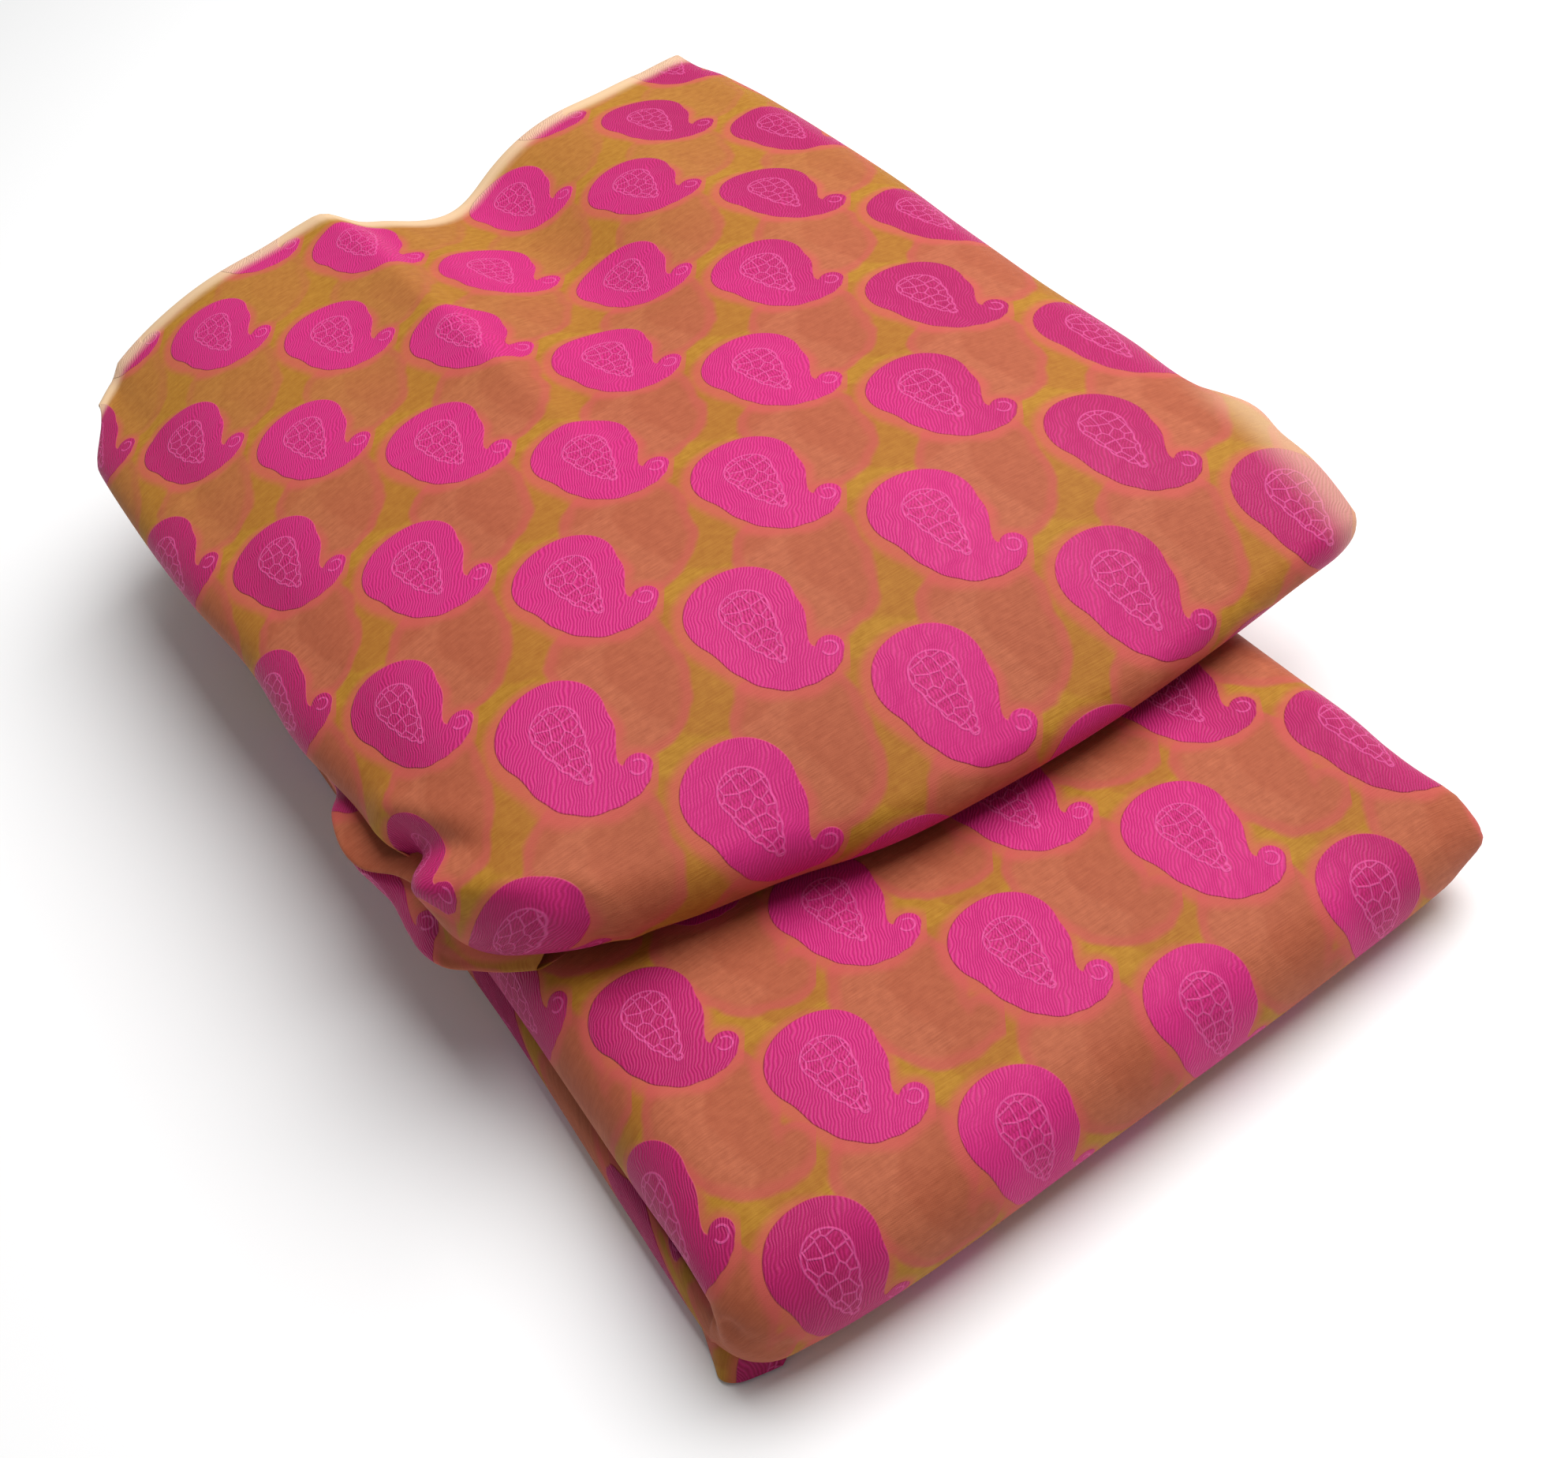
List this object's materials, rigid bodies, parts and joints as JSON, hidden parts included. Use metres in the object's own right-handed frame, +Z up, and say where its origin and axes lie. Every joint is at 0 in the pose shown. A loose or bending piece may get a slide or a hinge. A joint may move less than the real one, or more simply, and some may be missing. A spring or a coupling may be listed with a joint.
{
  "type": "folded banarasi fabric",
  "caption": "Length of soft woven fabric with a paisley repeat, folded back and forth into two plump tiers, the upper one set back on the lower.",
  "frame": {"origin": "on the surface the cloth lies on, under the middle of its bounding box", "axes": "+X to the right along the folded width, +Y from the rounded noses to the back folds, +Z up"},
  "size_m": [0.3148, 0.5026, 0.1059],
  "materials": {
    "cloth": "soft woven, magenta paisleys on an ochre and salmon ground"
  },
  "bodies": {
    "root": {"folded_cloth": "cloth"}
  },
  "joints": []
}
